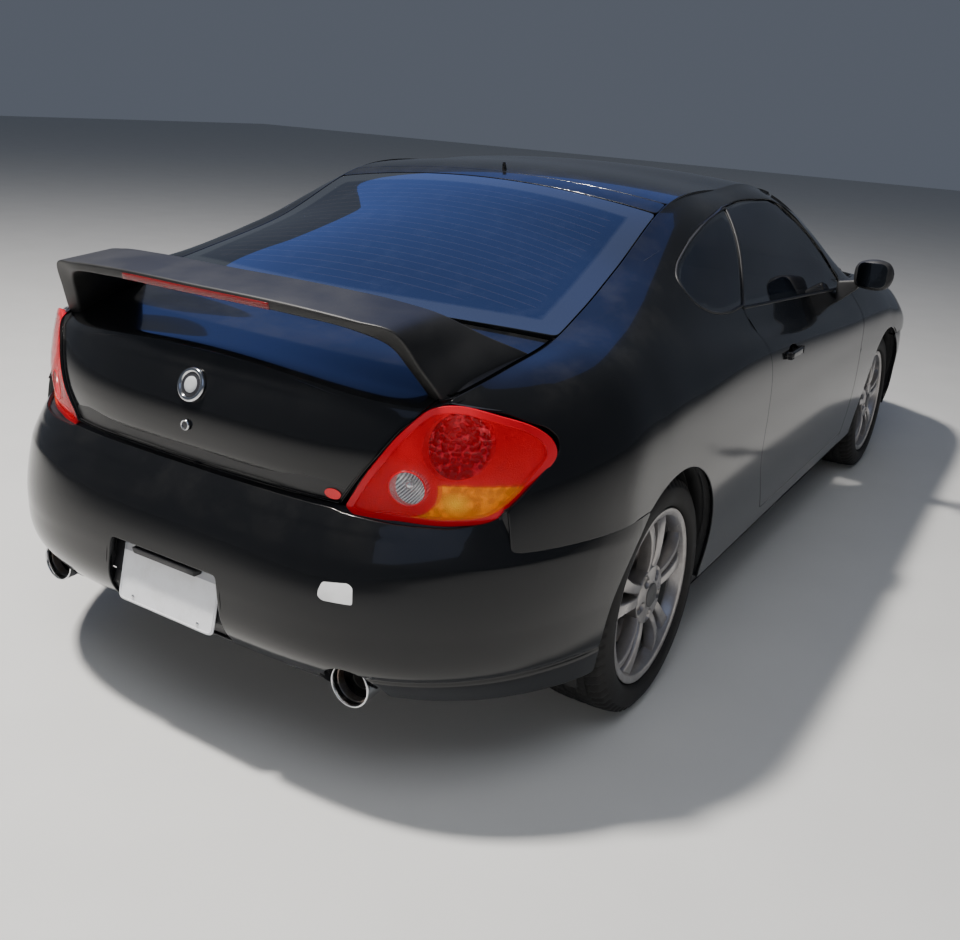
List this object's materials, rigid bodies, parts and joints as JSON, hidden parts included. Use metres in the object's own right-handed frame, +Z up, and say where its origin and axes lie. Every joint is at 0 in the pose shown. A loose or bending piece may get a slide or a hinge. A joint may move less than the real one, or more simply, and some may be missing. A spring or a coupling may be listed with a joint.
{
  "type": "coupe car",
  "caption": "Full-size black liftback coupe with hinged doors, hood and rear hatch, steering front wheels, turning wheels, rear wing and a seated cabin.",
  "frame": {"origin": "on the ground under the middle of the car's length and width", "axes": "+X to the front of the car, +Y to its left, +Z up"},
  "size_m": [4.3955, 1.996, 1.3336],
  "materials": {
    "body_paint": "black gloss paint with light scratches",
    "black_trim": "black grained plastic",
    "side_glass": "dark tinted glass",
    "lamp_red": "red lamp lens",
    "lamp_clear": "clear lamp lens",
    "tyre_rubber": "worn black tyre",
    "wheel_alloy": "silver painted alloy",
    "cast_metal": "dark cast metal",
    "floor_paint": "black underseal",
    "steel": "exhaust steel",
    "badge_chrome": "chrome",
    "plate_white": "blank white plate",
    "seat_cloth": "dark grey cloth",
    "dash_plastic": "dark grey plastic"
  },
  "bodies": {
    "body": {"body_side_left": "body_paint", "body_side_right": "body_paint", "fenders": "body_paint", "fixed_glass": "side_glass", "tail_lamps": "lamp_red", "headlamps": "lamp_clear", "roof": "body_paint", "cowl": "black_trim", "rear_bumper": "body_paint", "rear_valance": "black_trim", "number_plate": "plate_white", "front_bumper": "body_paint", "grille": "black_trim", "floor": "floor_paint", "cargo_floor": "floor_paint", "front_frame": "floor_paint", "wheel_housings": "floor_paint", "engine": "cast_metal", "fuel_tank": "floor_paint", "exhaust": "steel", "front_seats": "seat_cloth", "rear_seat": "seat_cloth", "dashboard": "dash_plastic", "steering_wheel": "dash_plastic", "rear_axle": "cast_metal", "front_suspension": "cast_metal"},
    "door_left": {"door_left": "body_paint", "door_glass_left": "side_glass", "mirror_left": "black_trim"},
    "door_right": {"door_right": "body_paint", "door_glass_right": "side_glass", "mirror_right": "black_trim"},
    "hood": {"hood": "body_paint"},
    "hatch": {"hatch": "body_paint", "rear_glass": "side_glass", "wing": "body_paint", "brake_strip": "lamp_red", "hatch_badge": "badge_chrome"},
    "steer_left": {"knuckle_left": "cast_metal"},
    "steer_right": {"knuckle_right": "cast_metal"},
    "wheel_front_left": {"tyre_front_left": "tyre_rubber", "rim_front_left": "wheel_alloy"},
    "wheel_front_right": {"tyre_front_right": "tyre_rubber", "rim_front_right": "wheel_alloy"},
    "wheel_rear_left": {"tyre_rear_left": "tyre_rubber", "rim_rear_left": "wheel_alloy"},
    "wheel_rear_right": {"tyre_rear_right": "tyre_rubber", "rim_rear_right": "wheel_alloy"}
  },
  "joints": [
    {"name": "door_left", "type": "hinge", "parent": "body", "child": "door_left", "pos_m": [0.643, 0.88, 0.55], "axis": [0, 0, -1], "range_deg": [0, 65]},
    {"name": "door_right", "type": "hinge", "parent": "body", "child": "door_right", "pos_m": [0.643, -0.88, 0.55], "axis": [0, 0, 1], "range_deg": [0, 65]},
    {"name": "hood", "type": "hinge", "parent": "body", "child": "hood", "pos_m": [0.752, 0, 0.932], "axis": [0, -1, 0], "range_deg": [0, 50]},
    {"name": "hatch", "type": "hinge", "parent": "body", "child": "hatch", "pos_m": [-0.834, 0, 1.305], "axis": [0, 1, 0], "range_deg": [0, 65]},
    {"name": "steer_left", "type": "hinge", "parent": "body", "child": "steer_left", "pos_m": [1.2025, 0.715, 0.31265], "axis": [0, 0, 1], "range_deg": [-35, 35]},
    {"name": "steer_right", "type": "hinge", "parent": "body", "child": "steer_right", "pos_m": [1.2025, -0.715, 0.31265], "axis": [0, 0, 1], "range_deg": [-35, 35]},
    {"name": "wheel_front_left", "type": "hinge", "parent": "steer_left", "child": "wheel_front_left", "pos_m": [1.2025, 0.745, 0.31265], "axis": [0, 1, 0], "continuous": true},
    {"name": "wheel_front_right", "type": "hinge", "parent": "steer_right", "child": "wheel_front_right", "pos_m": [1.2025, -0.745, 0.31265], "axis": [0, 1, 0], "continuous": true},
    {"name": "wheel_rear_left", "type": "hinge", "parent": "body", "child": "wheel_rear_left", "pos_m": [-1.3275, 0.745, 0.31265], "axis": [0, 1, 0], "continuous": true},
    {"name": "wheel_rear_right", "type": "hinge", "parent": "body", "child": "wheel_rear_right", "pos_m": [-1.3275, -0.745, 0.31265], "axis": [0, 1, 0], "continuous": true}
  ],
  "couplings": [
    {"joint": "steer_right", "follows": "steer_left", "ratio": 1}
  ]
}
